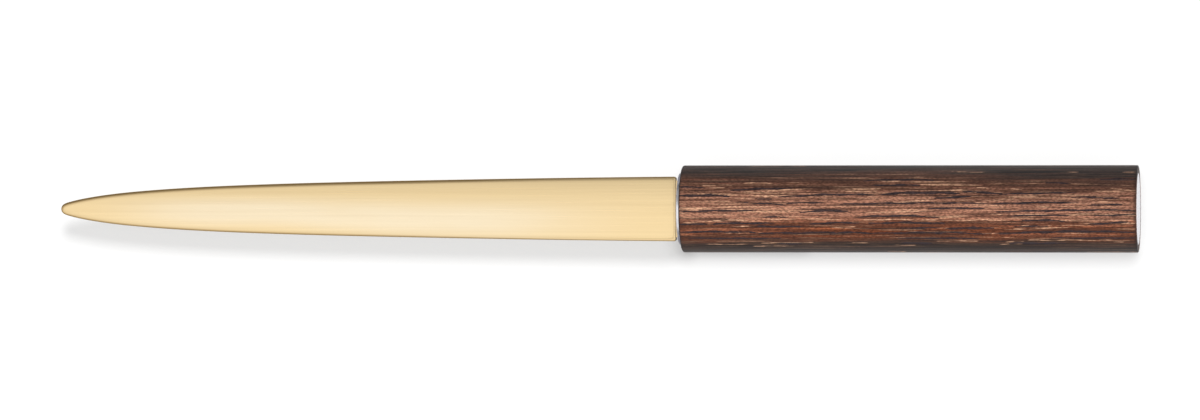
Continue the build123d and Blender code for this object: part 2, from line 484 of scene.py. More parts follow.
def clamped_curve(points: Array, start: Array, end: Array, count: int) -> Array:
    """Draws a smooth curve through points, with given directions at its ends.

    Args:
        points: places to pass, one per row.
        start: unit direction at the first one.
        end: unit direction at the last one.
        count: points to return.

    Returns:
        Points along the curve, one per row.
    """
    spans = np.linalg.norm(np.diff(points, axis=0), axis=1)
    chords = np.diff(points, axis=0) / spans[:, None]
    size = len(points)
    system = np.zeros((size, size))
    sides = np.zeros((size, 2))
    system[0, 0] = 1.0
    system[-1, -1] = 1.0
    sides[0] = start
    sides[-1] = end
    for i in range(1, size - 1):
        system[i, i - 1 : i + 2] = (spans[i], 2.0 * (spans[i - 1] + spans[i]), spans[i - 1])
        sides[i] = 3.0 * (spans[i] * chords[i - 1] + spans[i - 1] * chords[i])
    slopes = np.linalg.solve(system, sides)
    knots = np.concatenate(([0.0], np.cumsum(spans)))
    at = np.linspace(0.0, knots[-1], count)
    span = np.clip(np.searchsorted(knots, at, side="right") - 1, 0, size - 2)
    share = ((at - knots[span]) / spans[span])[:, None]
    width = spans[span][:, None]
    rest = 1.0 - share
    begin = (1.0 + 2.0 * share) * rest**2 * points[span] + share * rest**2 * width * slopes[span]
    finish = share**2 * (1.0 + 2.0 * rest) * points[span + 1] - share**2 * rest * width * slopes[span + 1]
    return begin + finish


def make_piece(name: str, mesh: Mesh, material: Material, node: str) -> Piece:
    """Puts a finished mesh in the scene in place of a CAD node.

    Args:
        name: the piece's name.
        mesh: its mesh, in metres.
        material: its finish.
        node: the CAD node that it stands for.

    Returns:
        The piece.
    """
    mesh.materials.clear()
    mesh.materials.append(material)
    mesh.polygons.foreach_set("material_index", np.zeros(len(mesh.polygons), dtype=np.int32))
    mesh.polygons.foreach_set("use_smooth", np.ones(len(mesh.polygons), dtype=bool))
    piece = bpy.data.objects.new(name, mesh)
    bpy.context.scene.collection.objects.link(piece)
    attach(piece, BODY)
    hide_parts(node)
    return piece


def new_mesh(name: str, points: Array, faces: Faces) -> Mesh:
    """Makes a mesh with its faces turned outwards.

    Args:
        name: the mesh's name.
        points: vertices, one per row.
        faces: vertex numbers of each face.

    Returns:
        The mesh.
    """
    mesh = bpy.data.meshes.new(name)
    mesh.from_pydata(points.tolist(), [], faces)
    shape = bmesh.new()
    shape.from_mesh(mesh)
    bmesh.ops.recalc_face_normals(shape, faces=shape.faces)
    shape.to_mesh(mesh)
    shape.free()
    return mesh


def store(mesh: Mesh, name: str, values: Array) -> None:
    """Keeps one number per vertex for the finish to read."""
    mesh.attributes.new(name, "FLOAT", "POINT").data.foreach_set("value", values.astype(np.float32))


def vertices_of(mesh: Mesh) -> Array:
    """Reads a mesh's vertices.

    Args:
        mesh: the mesh.

    Returns:
        Its vertices, one per row.
    """
    flat = np.empty(3 * len(mesh.vertices), dtype=np.float64)
    mesh.vertices.foreach_get("co", flat)
    return flat.reshape(-1, 3)


def dress(node: str, material: Material) -> Piece:
    """Gives a CAD node one finish all over.

    Args:
        node: the node's name.
        material: its finish.

    Returns:
        The node's object.
    """
    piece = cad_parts[node]
    for slot in piece.material_slots:
        slot.material = material
    return piece


@dataclass
class Blade:
    """The brass blade with its neck and tang. Sizes in millimetres, heights from the handle's axis."""

    length: float = 115.0
    half_width: float = 5.95
    thickness: float = 2.4
    tip_thickness: float = 1.5
    crown: float = 0.4
    crown_overrun: float = 0.5
    nose_radius: float = 1.05
    nose_half_angle: float = math.radians(58.0)
    shoulder_radius: float = 0.45
    shoulder_slope: float = 0.008
    edge_shares: tuple[Pair, ...] = (
        (0.013, 0.216),
        (0.044, 0.349),
        (0.140, 0.571),
        (0.298, 0.742),
        (0.526, 0.864),
        (1.0, 1.0),
    )
    bevel_inset: float = 0.43
    bevel_angle: float = math.radians(9.0)
    slope_probe: float = 0.05
    edge_round: float = 0.28
    shoulder_round: float = 0.1
    shoulder_turn: Pair = (0.3, 0.95)
    neck_half_width: float = 5.2
    tang_half_width: float = 3.5
    tang_half_thickness: float = 0.75
    pin_radius: float = 1.25
    pin_clearance: float = 0.02
    weld: float = 0.001
    sharp_angle: float = math.radians(35.0)
    neck_inset: float = 0.2
    neck_gap: float = 0.01
    # How strong the painted shade along the shoulders' edge is, and where it is spared next to the ferrule
    shoulder_shade: float = 0.1
    spared_from: float = 0.9
    spared_full: float = 0.45
    spared_corner_share: float = 0.9
    spared_corner: float = 0.2
    # Width of the painted shade along the edge, on both sides and towards the handle
    far_edge: float = 0.85
    near_edge: float = 0.5
    side_blend: float = 0.5
    slim_share: float = 0.5
    slim_before: float = 8.0
    slimming: float = 0.55
    # Painted highlight strip, by shares of the length and of the half width
    highlight_rise: Pair = (0.03, 0.25)
    highlight_fall: Pair = (0.65, 0.98)
    highlight_turn: Pair = (0.3, 0.65)
    highlight_offset: float = 0.1
    highlight_shift: float = 0.25
    highlight_core: float = 0.1
    highlight_reach: float = 0.55
    highlight_spread: float = 0.2
    columns: int = 36
    nose_steps: int = 10
    curve_steps: int = 4000
    edge_steps: int = 150
    edge_crowding: float = 1.5
    corner_steps: int = 8
    arc_steps: int = 7
    wall_steps: int = 3
    hole_steps: int = 48
    finish: BrushedBrass = field(default_factory=BrushedBrass)
    tip_x: float = field(init=False, default=0.0)
    shoulder_x: float = field(init=False, default=0.0)
    tang_end_x: float = field(init=False, default=0.0)
    neck_end_x: float = field(init=False, default=0.0)
    axis_z: float = field(init=False, default=0.0)

    def build(self) -> Piece:
        """Makes the blade and puts it in place of its CAD node.

        Returns:
            The blade.
        """
        low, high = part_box("blade")
        self.tip_x = low.x / MM
        self.shoulder_x = self.tip_x + self.length
        self.tang_end_x = high.x / MM
        self.neck_end_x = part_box("liner_tube")[0].x / MM
        self.axis_z = (low.z + high.z) / 2.0 / MM
        mesh = self.joined(self.body(), self.tang())
        points = vertices_of(mesh)
        store(mesh, "inset", self.inset(points))
        store(mesh, "edge_shade", self.edge_shade(points))
        store(mesh, "edge_width", self.edge_width(points))
        store(mesh, "painted_highlight", self.painted_highlight(points))
        mesh.transform(Matrix.Scale(MM, 4) @ Matrix.Translation((0.0, 0.0, self.axis_z)))
        piece = make_piece("brass_blade", mesh, self.finish.material(), "blade")
        mesh.set_sharp_from_angle(angle=self.sharp_angle)
        return piece

    def outline(self) -> tuple[Array, Array]:
        """Draws one edge from the tip to the shoulder.

        Returns:
            Points along the edge, and the outward directions there.
        """
        turn = np.linspace(0.0, self.nose_half_angle, self.nose_steps + 1)
        outward = np.column_stack((-np.cos(turn), np.sin(turn)))
        nose = np.array([self.tip_x + self.nose_radius, 0.0]) + self.nose_radius * outward
        reach = np.array([self.length, self.half_width])
        stations = np.array([self.tip_x, 0.0]) + np.array(self.edge_shares) * reach
        lead = np.array([math.sin(self.nose_half_angle), math.cos(self.nose_half_angle)])
        trail = np.array([1.0, self.shoulder_slope])
        curve = clamped_curve(np.vstack((nose[-1:], stations)), lead, trail, self.curve_steps)
        corner_x = self.shoulder_x - self.shoulder_radius
        share = np.linspace(0.0, 1.0, self.edge_steps + 1)[1:] ** self.edge_crowding
        x = nose[-1, 0] + (corner_x - nose[-1, 0]) * share
        y = np.interp(x, curve[:, 0], curve[:, 1])
        slope = np.interp(x, curve[:, 0], np.gradient(curve[:, 1], curve[:, 0]))
        side = np.column_stack((-slope, np.ones_like(slope))) / np.hypot(1.0, slope)[:, None]
        bend = np.linspace(math.pi / 2.0, 0.0, self.corner_steps + 1)[1:]
        round_off = np.column_stack((np.cos(bend), np.sin(bend)))
        corner = np.array([corner_x, y[-1] - self.shoulder_radius]) + self.shoulder_radius * round_off
        return np.vstack((nose, np.column_stack((x, y)), corner)), np.vstack((outward, side, round_off))

    def face_height(self, x: Array, y: Array) -> Array:
        """Gives the height of the crowned face above the blade's middle.

        Args:
            x: places along the opener.
            y: places across it.

        Returns:
            The heights.
        """
        growth = (self.thickness - self.tip_thickness) * (x - self.tip_x) / self.length
        middle = (self.tip_thickness + growth) / 2.0
        reach = self.half_width + self.crown_overrun
        drop = self.crown * (reach / self.half_width) ** 2
        radius = (reach**2 + drop**2) / (2.0 * drop)
        return middle - radius + np.sqrt(radius**2 - y**2)

    def edge_rings(self, points: Array, outward: Array) -> list[Array]:
        """Shapes the bevel, the round and the wall all along the edge, from the top face to the middle.

        Args:
            points: the outline.
            outward: outward directions along it.

        Returns:
            Rings of points, the first one on the face.
        """
        crease = points - outward * self.bevel_inset
        height = self.face_height(crease[:, 0], crease[:, 1])
        inner = crease - outward * self.slope_probe
        rise = self.face_height(inner[:, 0], inner[:, 1]) - height
        lean = np.arctan(rise / self.slope_probe) + self.bevel_angle
        squared = smooth_step(outward[:, 0], *self.shoulder_turn)
        radius = self.edge_round + (self.shoulder_round - self.edge_round) * squared
        start = radius * (1.0 - np.sin(lean))
        below = height - (self.bevel_inset - start) * np.tan(lean)
        centre = below - radius * np.cos(lean)
        rings = [np.column_stack((crease, height))]
        half = (self.bevel_inset + start) / 2.0
        rings.append(np.column_stack((points - outward * half[:, None], (height + below) / 2.0)))
        for step in range(self.arc_steps + 1):
            angle = lean + (math.pi / 2.0 - lean) * step / self.arc_steps
            inset = radius * (1.0 - np.sin(angle))
            flat = points - outward * inset[:, None]
            rings.append(np.column_stack((flat, centre + radius * np.cos(angle))))
        return rings

    def body(self) -> Piece:
        """Builds the blade without its tang.

        Returns:
            The body, not yet in the scene.
        """
        edge, outward = self.outline()
        last = len(edge) - 1
        across = np.linspace(1.0, -1.0, self.columns + 1)[1:-1]
        shoulder = np.column_stack((np.full(len(across), self.shoulder_x), edge[-1, 1] * across))
        flip = np.array([1.0, -1.0])
        loop = np.vstack((edge, shoulder, edge[:0:-1] * flip))
        ahead = np.tile([1.0, 0.0], (len(across), 1))
        loop_out = np.vstack((outward, ahead, outward[:0:-1] * flip))
        rings = self.edge_rings(loop, loop_out)
        crease = rings[0][: last + 1]
        rows = [crease[:1]]
        for x, y, _ in crease[1:]:
            spread = np.linspace(-y, y, self.columns + 1)
            level = np.full_like(spread, x)
            rows.append(np.column_stack((level, spread, self.face_height(level, spread))))
        top = np.vstack(rows)
        wide = self.columns + 1
        count = len(top)

        def grid(i: int, j: int) -> int:
            """Gives the number of a vertex of the top face by row and column."""
            return 0 if i == 0 else 1 + (i - 1) * wide + j

        rim = [0] + [grid(i, wide - 1) for i in range(1, last + 1)]
        rim += [grid(last, j) for j in range(wide - 2, 0, -1)]
        rim += [grid(i, 0) for i in range(last, 0, -1)]
        sheet: Faces = [(0, grid(1, j), grid(1, j + 1)) for j in range(self.columns)]
        for i in range(1, last):
            for j in range(self.columns):
                sheet.append((grid(i, j), grid(i + 1, j), grid(i + 1, j + 1), grid(i, j + 1)))
        mirror = np.array([1.0, 1.0, -1.0])
        points = [top, top * mirror]
        faces: Faces = sheet + [tuple(count + v for v in reversed(face)) for face in sheet]
        upper = rings[1:]
        levels = [1.0 - 2.0 * k / self.wall_steps for k in range(1, self.wall_steps)]
        wall = [upper[-1] * np.array([1.0, 1.0, level]) for level in levels]
        bands = upper + wall + [ring * mirror for ring in reversed(upper)]
        size = len(loop)
        numbers = [rim]
        for place, band in enumerate(bands):
            points.append(band)
            numbers.append([2 * count + place * size + k for k in range(size)])
        numbers.append([count + v for v in rim])
        for above, below in zip(numbers, numbers[1:]):
            for k in range(size):
                after = (k + 1) % size
                faces.append((above[k], above[after], below[after], below[k]))
        mesh = new_mesh("blade_body", np.vstack(points), faces)
        return bpy.data.objects.new("blade_body", mesh)

    def tang(self) -> Piece:
        """Builds the neck and the tang with its two pin holes, as a flat plate.

        Returns:
            The plate, not yet in the scene.
        """
        low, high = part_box("tang_pins")
        holes = (low.x / MM + self.pin_radius, high.x / MM - self.pin_radius)
        root_x = self.shoulder_x - self.shoulder_radius
        side = [
            (root_x, self.neck_half_width),
            (self.neck_end_x, self.neck_half_width),
            (self.neck_end_x, self.tang_half_width),
            (self.tang_end_x, self.tang_half_width),
        ]
        drawing = bpy.data.curves.new("tang", "CURVE")
        drawing.dimensions = "2D"
        drawing.fill_mode = "BOTH"
        drawing.extrude = self.tang_half_thickness
        turn = np.linspace(0.0, math.tau, self.hole_steps + 1)[:-1]
        radius = self.pin_radius + self.pin_clearance
        shapes = [side + [(x, -y) for x, y in reversed(side)]]
        for x in holes:
            shapes.append([(x + radius * math.cos(a), radius * math.sin(a)) for a in turn])
        for shape in shapes:
            line = drawing.splines.new("POLY")
            line.points.add(len(shape) - 1)
            for point, (x, y) in zip(line.points, shape):
                point.co = (x, y, 0.0, 1.0)
            line.use_cyclic_u = True
        drawn = bpy.data.objects.new("tang_drawing", drawing)
        mesh = bpy.data.meshes.new_from_object(drawn)
        shape = bmesh.new()
        shape.from_mesh(mesh)
        bmesh.ops.remove_doubles(shape, verts=shape.verts, dist=self.weld)
        bmesh.ops.recalc_face_normals(shape, faces=shape.faces)
        shape.to_mesh(mesh)
        shape.free()
        bpy.data.objects.remove(drawn)
        return bpy.data.objects.new("tang", mesh)

    def joined(self, body: Piece, tang: Piece) -> Mesh:
        """Fuses the tang to the body and clears both away.

        Args:
            body: the blade's body.
            tang: the plate of neck and tang.

        Returns:
            The mesh of both in one.
        """
        for part in (body, tang):
            bpy.context.scene.collection.objects.link(part)
        fuse = body.modifiers.new("fuse", "BOOLEAN")
        fuse.operation = "UNION"
        fuse.solver = "EXACT"
        fuse.object = tang
        ready = bpy.context.evaluated_depsgraph_get()
        mesh = bpy.data.meshes.new_from_object(body.evaluated_get(ready))
        mesh.name = "brass_blade"
        for part in (body, tang):
            bpy.data.objects.remove(part)
        return mesh

    def inset(self, points: Array) -> Array:
        """Gives each vertex's distance from the blade's outline, and a small one on the neck and tang.

        Args:
            points: the blade's vertices, one per row.

        Returns:
            The distances.
        """
        edge, _ = self.outline()
        line = np.vstack((edge, [(self.shoulder_x, 0.0)]))
        flat = np.column_stack((points[:, 0], np.abs(points[:, 1])))
        nearest = np.full(len(flat), np.inf)
        for a, b in zip(line, line[1:]):
            run = b - a
            share = np.clip((flat - a) @ run / (run @ run), 0.0, 1.0)
            nearest = np.minimum(nearest, np.linalg.norm(flat - a - share[:, None] * run, axis=1))
        nearest[flat[:, 0] > self.shoulder_x + self.neck_gap] = self.neck_inset
        return nearest

    def edge_shade(self, points: Array) -> Array:
        """Says how strong the painted shade along each vertex's edge is, least along the shoulders next to
        the ferrule.

        Args:
            points: the blade's vertices, one per row.

        Returns:
            Strengths, 0 to 1.
        """
        x, side = points[:, 0], np.abs(points[:, 1])
        spared = smooth_step(x, self.shoulder_x - self.spared_from, self.shoulder_x - self.spared_full)
        inner = self.spared_corner_share * self.half_width
        spared *= 1.0 - smooth_step(side, inner, self.half_width - self.spared_corner)
        spared[x > self.shoulder_x + self.neck_gap] = 0.0
        return 1.0 - (1.0 - self.shoulder_shade) * spared

    def edge_width(self, points: Array) -> Array:
        """Says how wide the painted shade along the edge is, narrower towards the handle and on the near
        side.

        Args:
            points: the blade's vertices, one per row.

        Returns:
            The widths.
        """
        start = self.tip_x + self.slim_share * self.length
        handled = smooth_step(points[:, 0], start, self.shoulder_x - self.slim_before)
        far = smooth_step(points[:, 1], -self.side_blend, self.side_blend)
        wide = self.far_edge * far + self.near_edge * (1.0 - far)
        return wide * (1.0 - self.slimming * handled)

    def painted_highlight(self, points: Array) -> Array:
        """Says how strong the painted highlight is at each vertex, most along the middle of the blade.

        Args:
            points: the blade's vertices, one per row.

        Returns:
            Strengths, 0 to 1.
        """
        share = (points[:, 0] - self.tip_x) / self.length
        inward = smooth_step(share, *self.highlight_rise)
        outward = 1.0 - smooth_step(share, *self.highlight_fall)
        lower = smooth_step(share, *self.highlight_turn)
        offset = np.abs(points[:, 1] / self.half_width + self.highlight_offset + self.highlight_shift * lower)
        reach = self.highlight_reach + self.highlight_spread * lower
        across = 1.0 - smooth_step((offset - self.highlight_core) / reach, 0.0, 1.0)
        return inward * outward * across


class Tone(Enum):
    """What a grain mark does to the wood."""

    DARK = "dark"
    PALE = "pale"


@dataclass(frozen=True)
class GrainMark:
    """One lens-shaped mark in the wood, in millimetres from the sleeve's front and degrees from its top."""

    start: float
    end: float
    turn_start: float
    turn_end: float
    bow: float
    width: float


# Streaks on top of the handle, listed one by one: start and end along it, place across it at both, bow,
# width
STREAKS: MarkTable = (
    (0.0, 4.7, 4.05, 3.9, 0.0, 0.28),
    (9.4, 21.0, 3.45, 3.8, 0.05, 0.42),
    (0.0, 9.4, 2.4, 2.3, 0.15, 0.50),
    (18.4, 36.2, 2.15, 2.6, 0.25, 0.42),
    (14.0, 17.5, 1.95, 1.8, 0.0, 0.24),
    (10.5, 13.3, 1.2, 1.25, 0.0, 0.2),
    (13.5, 19.7, 1.0, 0.75, 0.05, 0.24),
    (19.7, 27.0, 0.95, 1.2, 0.05, 0.28),
    (0.0, 14.8, -0.5, -0.3, 0.05, 0.34),
    (22.3, 31.5, -0.6, -0.38, 0.12, 0.42),
    (15.2, 20.3, -1.45, -1.6, 0.05, 0.28),
    (0.0, 5.4, -2.8, -2.8, 0.0, 0.32),
    (6.4, 17.5, -2.75, -2.7, 0.12, 0.40),
    (23.9, 33.6, -2.75, -2.55, 0.1, 0.36),
    (14.0, 22.7, -3.2, -3.3, 0.0, 0.36),
    (0.0, 14.0, -4.25, -4.3, 0.1, 0.38),
    (13.0, 29.0, -4.4, -4.25, -0.1, 0.32),
    (1.5, 19.0, -5.4, -5.4, 0.0, 0.32),
    (18.0, 22.5, -6.4, -6.4, 0.0, 0.35),
    (34.0, 47.0, 5.15, 5.25, 0.2, 0.35),
    (35.7, 44.5, 4.3, 4.3, 0.08, 0.35),
    (36.8, 51.7, 2.65, 2.8, 0.25, 0.55),
    (51.9, 59.4, 3.1, 2.75, 0.1, 0.40),
    (47.0, 53.7, 1.95, 2.2, 0.05, 0.42),
    (29.3, 57.5, 0.85, 1.0, 0.15, 0.34),
    (45.6, 56.4, 0.1, 0.1, 0.0, 0.36),
    (33.0, 47.7, -1.5, -1.55, 0.3, 0.32),
    (34.7, 49.2, -2.65, -2.7, 0.2, 0.36),
    (40.8, 47.7, -3.55, -3.5, 0.08, 0.26),
    (48.7, 57.8, -3.6, -3.45, 0.0, 0.42),
    (27.5, 35.5, -4.55, -4.45, 0.2, 0.36),
    (35.0, 57.5, -4.5, -4.6, 0.25, 0.32),
    (40.0, 55.0, -5.35, -5.4, 0.0, 0.32),
    (40.8, 46.4, -6.3, -6.3, 0.0, 0.40),
    (59.0, 73.0, 2.65, 3.0, 0.05, 0.32),
    (72.0, 80.8, 2.1, 1.95, 0.05, 0.30),
    (57.5, 73.3, 0.9, 1.2, 0.1, 0.36),
    (75.0, 81.6, 0.75, 0.75, 0.0, 0.30),
    (57.5, 83.8, -0.55, -0.2, 0.1, 0.36),
    (60.3, 72.5, -1.4, -1.3, 0.2, 0.26),
    (76.3, 83.8, -1.25, -1.0, 0.0, 0.32),
    (63.0, 70.8, -2.05, -2.25, 0.05, 0.42),
    (75.2, 83.0, -2.75, -2.4, 0.0, 0.42),
    (61.3, 68.0, -3.2, -3.2, 0.0, 0.24),
    (58.0, 83.8, -4.6, -4.3, 0.35, 0.40),
    (68.0, 83.8, -5.3, -5.3, 0.0, 0.28),
    (60.3, 70.7, -6.3, -6.3, 0.0, 0.38),
    (67.0, 71.8, 4.7, 4.7, 0.05, 0.24),
    (77.0, 83.8, 5.45, 5.45, 0.0, 0.35),
)

# Tan flecks on top of the handle, listed in the same way
FLECKS: MarkTable = (
    (4.1, 10.9, 4.3, 4.3, 0.0, 0.15),
    (5.0, 8.8, 3.85, 3.8, 0.0, 0.17),
    (12.0, 17.3, 4.73, 4.7, 0.0, 0.15),
    (11.5, 14.0, 3.1, 3.1, 0.0, 0.14),
    (14.5, 20.3, 3.2, 3.4, 0.0, 0.14),
    (14.0, 17.0, 2.25, 2.2, 0.0, 0.14),
    (6.2, 14.0, -2.1, -2.0, 0.0, 0.15),
    (16.0, 28.0, -1.95, -1.7, 0.0, 0.18),
    (9.2, 14.0, -3.2, -3.2, 0.0, 0.15),
    (4.7, 12.4, -6.5, -6.5, 0.0, 0.15),
    (14.7, 25.0, -6.25, -6.1, 0.0, 0.15),
    (13.3, 20.7, -6.8, -6.8, 0.0, 0.14),
    (30.0, 37.0, 3.65, 3.6, 0.05, 0.20),
    (30.8, 36.8, 3.2, 3.2, 0.0, 0.15),
    (43.0, 45.0, 5.8, 5.8, 0.0, 0.13),
    (54.9, 57.1, 3.8, 3.8, 0.0, 0.17),
    (28.0, 33.2, -3.3, -3.25, 0.0, 0.17),
    (31.7, 35.0, -6.2, -6.2, 0.0, 0.14),
    (39.5, 43.0, -6.6, -6.65, 0.0, 0.14),
    (47.3, 55.0, -5.87, -5.85, 0.0, 0.15),
    (49.0, 56.0, 6.85, 6.7, 0.0, 0.13),
    (52.8, 57.5, -2.1, -2.0, 0.0, 0.17),
    (33.6, 47.5, -2.1, -2.05, 0.15, 0.17),
    (61.0, 63.0, 3.7, 3.6, 0.0, 0.20),
    (79.0, 83.8, 3.75, 3.4, -0.1, 0.17),
    (63.9, 79.0, -5.7, -5.7, 0.0, 0.15),
    (79.7, 81.7, -6.0, -6.05, 0.0, 0.15),
    (60.0, 63.0, -6.0, -6.0, 0.0, 0.14),
    (59.0, 63.0, -6.45, -6.4, 0.0, 0.14),
    (81.0, 83.8, 6.7, 6.7, 0.0, 0.13),
    (69.5, 73.7, 6.75, 6.65, 0.0, 0.13),
    (65.4, 68.0, 0.37, 0.4, 0.0, 0.20),
    (57.5, 59.4, -1.05, -1.0, 0.0, 0.20),
    (62.6, 68.0, -3.1, -3.05, 0.0, 0.15),
    (61.3, 63.7, -3.75, -3.6, 0.0, 0.15),
    (57.5, 63.3, 1.75, 1.65, 0.0, 0.15),
)


@dataclass
class WoodSleeve:
    """The wooden sleeve with its open grain. Sizes in millimetres, turns in degrees from top towards +Y."""

    front_break: float = 0.3
    rear_break: float = 0.2
    break_bulge: float = 0.14
    bore_gap: float = 0.05
    segments: int = 448
    rows: int = 160
    face_steps: int = 4
    break_steps: int = 4
    bore_steps: int = 10
    groove_depth: float = 0.05
    # Marks made up for the sides and the underside
    unseen_marks: int = 70
    seen_half_turn: float = 76.0
    seed: int = 7
    made_share: Pair = (0.25, 1.0)
    made_before: float = 0.3
    made_after: float = 0.5
    made_drift: float = 2.0
    made_bow: Pair = (-0.2, 0.3)
    streak_longest: float = 26.0
    streak_widths: Pair = (0.24, 0.5)
    fleck_longest: float = 12.0
    fleck_widths: Pair = (0.18, 0.3)
    # Shape of every mark
    mark_wander: float = 0.05
    wander_rate: float = 0.9
    mark_swell: float = 0.2
    swell_rate: float = 1.7
    swell_step: float = 2.3
    mark_bluntness: float = 0.35
    mark_spread: float = 1.35
    mark_firmness: float = 1.5
    # Dark end grain at the front, and painted shade along the rims where the ferrule and the plug meet the
    # wood, with its reach from the end
    front_grain_and_shade: float = 0.85
    rear_rim_shade: float = 0.7
    end_shade_reach: Pair = (0.1, 0.4)
    # Waves of the bands round the sleeve: degrees, millimetres per radian and start
    wavers: tuple[Triple, ...] = ((2.5, 9.5, 0.7), (1.5, 3.9, 0.0))
    # Turn of the far side's bands towards the rear
    rear_drift: float = 6.0
    drift_along: Pair = (40.0, 68.0)
    drift_rise: Pair = (2.0, 14.0)
    drift_fall: Pair = (50.0, 80.0)
    # Warm patch on the near side
    warm_turn: float = -31.0
    warm_half_turn: float = 8.0
    warm_rise: Pair = (10.0, 24.0)
    warm_fall: Pair = (52.0, 66.0)
    warm_lift: float = 0.12
    warm_red: float = 0.32
    # Painted light and shade round the sleeve, by degrees from the top: brightest on top, darkest along both
    # sides, with some of the wood's own banding
    zones: tuple[Pair, ...] = (
        (-180.0, 0.60),
        (-150.0, 0.42),
        (-125.0, 0.70),
        (-100.0, 0.30),
        (-80.0, 0.0),
        (-65.0, 0.0),
        (-53.0, 0.10),
        (-43.0, 0.46),
        (-34.0, 0.70),
        (-27.0, 0.66),
        (-19.0, 0.76),
        (-13.0, 0.96),
        (0.0, 1.05),
        (7.0, 1.06),
        (14.0, 0.97),
        (21.0, 0.82),
        (28.0, 0.74),
        (36.0, 0.66),
        (44.0, 0.56),
        (50.0, 0.44),
        (56.0, 0.24),
        (63.0, 0.13),
        (90.0, 0.10),
        (110.0, 0.25),
        (128.0, 0.55),
        (150.0, 0.80),
        (180.0, 0.60),
    )
    # Redness of the wood round the sleeve, in the same way
    hearts: tuple[Pair, ...] = (
        (-180.0, 0.34),
        (-75.0, 0.14),
        (-45.0, 0.68),
        (-20.0, 0.68),
        (-10.0, 0.14),
        (30.0, 0.0),
        (60.0, 0.0),
        (110.0, 0.55),
        (180.0, 0.34),
    )
    finish: StreakedWood = field(default_factory=StreakedWood)
    front_x: float = field(init=False, default=0.0)
    rear_x: float = field(init=False, default=0.0)
    radius: float = field(init=False, default=0.0)
    axis_z: float = field(init=False, default=0.0)
    bore: float = field(init=False, default=0.0)

    def build(self) -> Piece:
        """Makes the sleeve and puts it in place of its CAD node.

        Returns:
            The sleeve.
        """
        low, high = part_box("wood_sleeve")
        self.front_x = low.x / MM
        self.rear_x = high.x / MM
        self.radius = (high.z - low.z) / 2.0 / MM
        self.axis_z = (high.z + low.z) / 2.0 / MM
        liner_low, liner_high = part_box("liner_tube")
        self.bore = (liner_high.z - liner_low.z) / 2.0 / MM + self.bore_gap
        profile, outside = self.profile()
        turn = np.arange(self.segments) * 360.0 / self.segments - 180.0
        along = np.repeat(profile[:, 0] - self.front_x, self.segments)
        around = np.tile(turn, len(profile))
        dark = self.strength(self.marks(Tone.DARK), along, around)
        pale = self.strength(self.marks(Tone.PALE), along, around) * (1.0 - dark)
        radius = np.repeat(profile[:, 1], self.segments)
        radius = radius - np.repeat(outside, self.segments) * self.groove_depth * dark
        angle = np.radians(around)
        points = np.column_stack((
            along + self.front_x,
            radius * np.sin(angle),
            radius * np.cos(angle) + self.axis_z,
        ))
        mesh = new_mesh("wood_sleeve_mesh", points * MM, self.faces(len(profile)))
        store(mesh, "dark", dark)
        store(mesh, "pale", pale)
        warm = self.warmth(along, around)
        # Painted light and shade round the sleeve, lifted by the warm patch
        store(mesh, "tone_and_light", self.wavering(self.zones, along, around) + self.warm_lift * warm)
        store(mesh, "heart", self.wavering(self.hearts, along, around) + self.warm_red * warm)
        store(mesh, "end", self.end_grain_and_gap_shade(along, np.repeat(outside, self.segments)))
        return make_piece("streaked_wood_sleeve", mesh, self.finish.material(), "wood_sleeve")

    def profile(self) -> tuple[Array, Array]:
        """Draws the sleeve's section, from the bore's front round the outside and back through the bore.

        Returns:
            Places along the sleeve with their radii, and 1 for those on the outside.
        """
        front_radii = np.linspace(self.bore, self.radius - self.front_break, self.face_steps + 1)
        rear_radii = np.linspace(self.radius - self.rear_break, self.bore, self.face_steps + 1)
        front = [(self.front_x, radius) for radius in front_radii]
        rear = [(self.rear_x, radius) for radius in rear_radii]
        start_x = self.front_x + self.front_break
        end_x = self.rear_x - self.rear_break
        outer = [(x, self.radius) for x in np.linspace(start_x, end_x, self.rows + 1)]
        steps = [k / self.break_steps for k in range(1, self.break_steps)]
        opening = [self.broken(self.front_x, 1.0, self.front_break, t) for t in steps]
        closing = [self.broken(self.rear_x, -1.0, self.rear_break, 1.0 - t) for t in steps]
        bore = [(x, self.bore) for x in np.linspace(self.rear_x, self.front_x, self.bore_steps + 1)[1:-1]]
        section = np.array(front + opening + outer + closing + rear + bore)
        outside = np.zeros(len(section))
        first = len(front)
        outside[first : first + len(opening) + len(outer) + len(closing)] = 1.0
        return section, outside

    def broken(self, face_x: float, inward: float, size: float, share: float) -> Pair:
        """Gives a point of a softly broken rim, from the end face at share 0 to the outside at share 1."""
        bulge = self.break_bulge * math.sin(math.pi * share)
        return face_x + inward * size * (share - bulge), self.radius - size * (1.0 - share - bulge)

    def faces(self, count: int) -> Faces:
        """Joins the section's rings into a closed tube wall.

        Args:
            count: rings.

        Returns:
            Vertex numbers of each face.
        """
        made: Faces = []
        for k in range(count):
            here = k * self.segments
            after = (k + 1) % count * self.segments
            for s in range(self.segments):
                t = (s + 1) % self.segments
                made.append((here + s, here + t, after + t, after + s))
        return made

